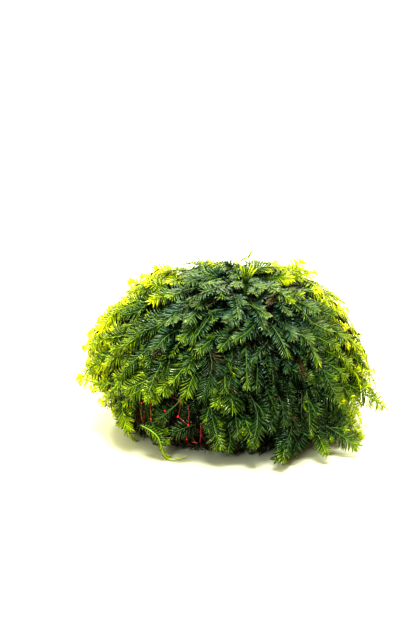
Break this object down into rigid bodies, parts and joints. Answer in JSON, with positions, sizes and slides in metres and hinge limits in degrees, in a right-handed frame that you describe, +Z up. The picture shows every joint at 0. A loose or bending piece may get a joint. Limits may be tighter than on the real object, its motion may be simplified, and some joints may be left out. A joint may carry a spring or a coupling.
{
  "type": "moss clump",
  "caption": "Dome-shaped clump of flat-leaved moss on a flat foot, its feathery shoots laid outwards like shingles over a dense dark cushion held in a coarse red net.",
  "frame": {"origin": "middle of the flat underside that the clump rests on", "axes": "+Z up, out of the underside and through the crown; -Y towards the side that the picture shows; +X to that side's right"},
  "size_m": [0.0654, 0.0613, 0.0348],
  "materials": {
    "old_growth": "matte",
    "deep_green": "satin",
    "fresh_green": "satin",
    "rim_yellow": "satin",
    "stem_olive": "satin",
    "net_red": "satin"
  },
  "bodies": {
    "root": {"bare_stem": "stem_olive", "cushion": "old_growth", "frond_01": "rim_yellow", "frond_02": "deep_green", "frond_03": "fresh_green", "frond_04": "rim_yellow", "frond_05": "deep_green", "frond_06": "rim_yellow", "frond_07": "fresh_green", "frond_08": "deep_green", "frond_09": "deep_green", "frond_10": "deep_green", "frond_11": "fresh_green", "frond_12": "fresh_green", "frond_13": "rim_yellow", "frond_14": "rim_yellow", "frond_15": "rim_yellow", "frond_16": "fresh_green", "frond_17": "rim_yellow", "frond_18": "fresh_green", "frond_19": "rim_yellow", "frond_20": "fresh_green", "frond_21": "rim_yellow", "frond_22": "deep_green", "frond_23": "deep_green", "frond_24": "fresh_green", "frond_25": "rim_yellow", "frond_26": "deep_green", "frond_27": "fresh_green", "frond_28": "fresh_green", "frond_29": "rim_yellow", "frond_30": "deep_green", "frond_31": "fresh_green", "frond_32": "rim_yellow", "frond_33": "rim_yellow", "frond_34": "fresh_green", "frond_35": "deep_green", "frond_36": "rim_yellow", "frond_37": "deep_green", "frond_38": "rim_yellow", "frond_39": "fresh_green", "frond_40": "deep_green", "frond_41": "fresh_green", "frond_42": "fresh_green", "frond_43": "deep_green", "frond_44": "rim_yellow", "frond_45": "rim_yellow", "frond_46": "fresh_green", "frond_47": "deep_green", "frond_48": "rim_yellow", "frond_49": "deep_green", "frond_50": "fresh_green", "frond_51": "rim_yellow", "frond_52": "fresh_green", "frond_53": "rim_yellow", "frond_54": "fresh_green", "frond_55": "fresh_green", "frond_56": "rim_yellow", "net": "net_red", "runner": "stem_olive"}
  },
  "joints": []
}
